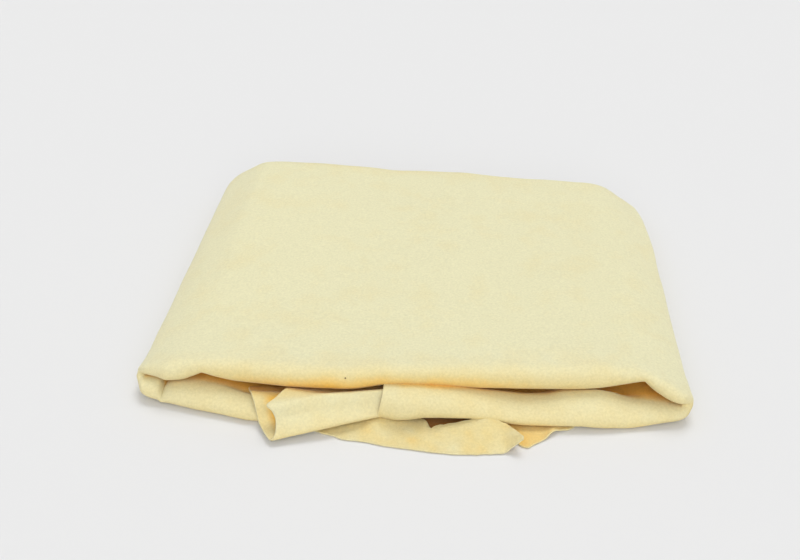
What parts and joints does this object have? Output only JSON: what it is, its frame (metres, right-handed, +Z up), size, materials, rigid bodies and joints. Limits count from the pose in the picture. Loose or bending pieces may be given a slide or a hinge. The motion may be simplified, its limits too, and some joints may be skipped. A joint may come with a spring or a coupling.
{
  "type": "folded chamois leather",
  "caption": "natural chamois leather for drying a car, folded into a soft flat pack, with its loose corners showing at the front and ends that unfold",
  "frame": {"origin": "centre of the bounding box's bottom face, on the surface the pack lies on", "axes": "+X along the pack's width between its two side folds, +Y from the open front edge to the back fold, +Z up"},
  "size_m": [0.25, 0.236, 0.0292],
  "materials": {
    "chamois_smooth": "matte suede, pale cream yellow",
    "chamois_edge": "matte suede, thin curled corner",
    "chamois_flesh_side": "rough matte suede, warmer yellow"
  },
  "bodies": {
    "right_end": {"right_end_panel": "chamois_smooth", "right_end_front_tuck": "chamois_smooth", "right_end_back_tuck": "chamois_smooth", "rolled_corner": "chamois_edge", "tongue_flap": "chamois_flesh_side", "floor_flap": "chamois_flesh_side"},
    "upper_strip": {"top_panel": "chamois_smooth", "top_front_tuck": "chamois_smooth", "top_back_tuck": "chamois_smooth"},
    "left_end": {"left_end_panel": "chamois_smooth", "left_end_front_tuck": "chamois_smooth", "left_end_back_tuck": "chamois_smooth"}
  },
  "joints": [
    {"name": "right_side_fold", "type": "hinge", "parent": "right_end", "child": "upper_strip", "pos_m": [0.1255, 0, 0.0125], "axis": [0, 1, 0], "range_deg": [0, 177]},
    {"name": "left_side_fold", "type": "hinge", "parent": "upper_strip", "child": "left_end", "pos_m": [-0.1255, 0, 0.0125], "axis": [0, 1, 0], "range_deg": [0, 177]}
  ]
}
